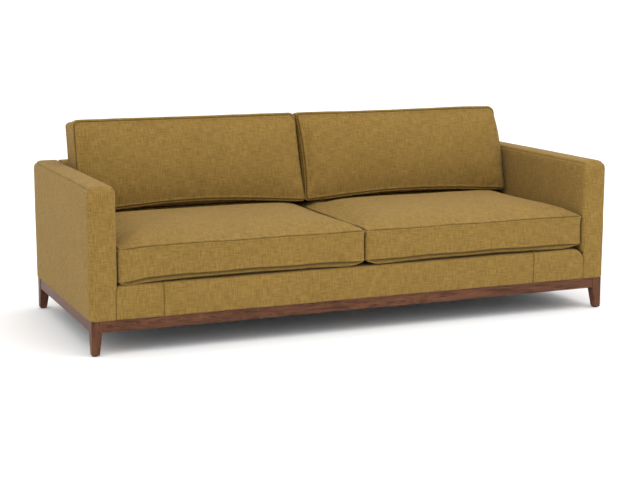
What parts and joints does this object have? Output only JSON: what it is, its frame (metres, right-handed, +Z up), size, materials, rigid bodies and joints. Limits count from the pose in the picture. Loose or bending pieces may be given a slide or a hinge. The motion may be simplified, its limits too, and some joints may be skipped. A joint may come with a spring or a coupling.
{
  "type": "sofa",
  "caption": "Long low sofa with square fabric arms and loose boxed seat and back cushions, on a plinth and tapered legs of dark wood.",
  "frame": {"origin": "on the floor, under the middle of the sofa's width and depth", "axes": "+X along the sofa's length, to the right for someone who looks at its front; +Y towards the back; +Z up; the sofa faces -Y"},
  "size_m": [2.24, 0.93, 0.812],
  "materials": {
    "back_fill": "matte",
    "bolt_steel": "satin",
    "clip_plastic": "matte",
    "deck_cloth": "matte",
    "dust_cloth": "matte",
    "frame_wood": "matte",
    "glide_plastic": "matte",
    "hardboard": "matte",
    "mustard_fabric": "matte",
    "padding": "matte",
    "seat_foam": "matte",
    "spring_steel": "satin",
    "walnut": "satin",
    "webbing": "matte",
    "zip_metal": "satin",
    "zip_tape": "matte"
  },
  "bodies": {
    "sofa_frame": {"arm_tack_rails": "frame_wood", "back_bottom_rail": "frame_wood", "back_cover": "mustard_fabric", "back_padding": "padding", "back_tack_rail": "frame_wood", "back_top_rail": "frame_wood", "back_uprights": "frame_wood", "back_webbing": "webbing", "centre_base_rail": "walnut", "centre_support_leg": "walnut", "corner_blocks": "frame_wood", "deck_cloth": "deck_cloth", "deck_pad": "padding", "dust_cover": "dust_cloth", "frame_bolts": "bolt_steel", "frame_panels": "hardboard", "front_base_rail": "walnut", "front_left_leg": "walnut", "front_rail_cover": "mustard_fabric", "front_rail_padding": "padding", "front_right_leg": "walnut", "left_arm_cover": "mustard_fabric", "left_arm_front_post": "frame_wood", "left_arm_padding": "padding", "left_arm_rear_post": "frame_wood", "left_arm_top_rail": "frame_wood", "left_base_rail": "walnut", "leg_glides": "glide_plastic", "rear_base_rail": "walnut", "rear_left_leg": "walnut", "rear_right_leg": "walnut", "right_arm_cover": "mustard_fabric", "right_arm_front_post": "frame_wood", "right_arm_padding": "padding", "right_arm_rear_post": "frame_wood", "right_arm_top_rail": "frame_wood", "right_base_rail": "walnut", "seat_centre_brace": "frame_wood", "seat_front_rail": "frame_wood", "seat_left_rail": "frame_wood", "seat_rear_rail": "frame_wood", "seat_right_rail": "frame_wood", "seat_springs": "spring_steel", "spring_clips": "clip_plastic"},
    "left_seat_cushion": {"left_seat_cushion_cover": "mustard_fabric", "left_seat_cushion_foam": "seat_foam", "left_seat_cushion_zip": "zip_tape"},
    "left_seat_zip_slider": {"left_seat_cushion_zip_slider": "zip_metal"},
    "left_back_cushion": {"left_back_cushion_cover": "mustard_fabric", "left_back_cushion_fill": "back_fill", "left_back_cushion_zip": "zip_tape"},
    "left_back_zip_slider": {"left_back_cushion_zip_slider": "zip_metal"},
    "right_seat_cushion": {"right_seat_cushion_cover": "mustard_fabric", "right_seat_cushion_foam": "seat_foam", "right_seat_cushion_zip": "zip_tape"},
    "right_seat_zip_slider": {"right_seat_cushion_zip_slider": "zip_metal"},
    "right_back_cushion": {"right_back_cushion_cover": "mustard_fabric", "right_back_cushion_fill": "back_fill", "right_back_cushion_zip": "zip_tape"},
    "right_back_zip_slider": {"right_back_cushion_zip_slider": "zip_metal"}
  },
  "joints": [
    {"name": "left_seat_cushion_slide", "type": "slide", "parent": "sofa_frame", "child": "left_seat_cushion", "axis": [0, -1, 0], "range_m": [0, 0.83]},
    {"name": "left_back_cushion_lift", "type": "slide", "parent": "sofa_frame", "child": "left_back_cushion", "axis": [0, 0, 1], "range_m": [0, 0.4]},
    {"name": "left_seat_zip_slide", "type": "slide", "parent": "left_seat_cushion", "child": "left_seat_zip_slider", "axis": [-1, 0, 0], "range_m": [0, 0.85]},
    {"name": "left_back_zip_slide", "type": "slide", "parent": "left_back_cushion", "child": "left_back_zip_slider", "axis": [-1, 0, 0], "range_m": [0, 0.85]},
    {"name": "right_seat_cushion_slide", "type": "slide", "parent": "sofa_frame", "child": "right_seat_cushion", "axis": [0, -1, 0], "range_m": [0, 0.83]},
    {"name": "right_back_cushion_lift", "type": "slide", "parent": "sofa_frame", "child": "right_back_cushion", "axis": [0, 0, 1], "range_m": [0, 0.4]},
    {"name": "right_seat_zip_slide", "type": "slide", "parent": "right_seat_cushion", "child": "right_seat_zip_slider", "axis": [1, 0, 0], "range_m": [0, 0.85]},
    {"name": "right_back_zip_slide", "type": "slide", "parent": "right_back_cushion", "child": "right_back_zip_slider", "axis": [1, 0, 0], "range_m": [0, 0.85]}
  ]
}
